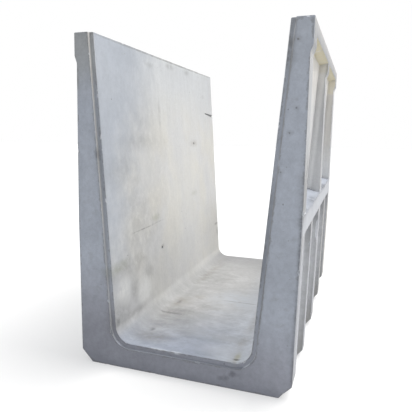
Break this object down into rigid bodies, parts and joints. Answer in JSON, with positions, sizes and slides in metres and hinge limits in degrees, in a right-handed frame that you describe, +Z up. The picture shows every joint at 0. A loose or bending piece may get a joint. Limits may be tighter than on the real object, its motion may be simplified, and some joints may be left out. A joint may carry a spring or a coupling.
{
  "type": "precast flume channel",
  "caption": "Tall U-shaped precast concrete channel unit with battered thin walls, outer ribs and beams, and recessed joint ends, for lining open water channels.",
  "frame": {"origin": "middle of the underside", "axes": "+X across the channel, +Y along the flow, +Z up to the open top"},
  "size_m": [1.112, 2, 1.65],
  "materials": {
    "concrete": "smooth steel-mould concrete, matt, weathered"
  },
  "bodies": {
    "root": {"channel_body": "concrete"}
  },
  "joints": []
}
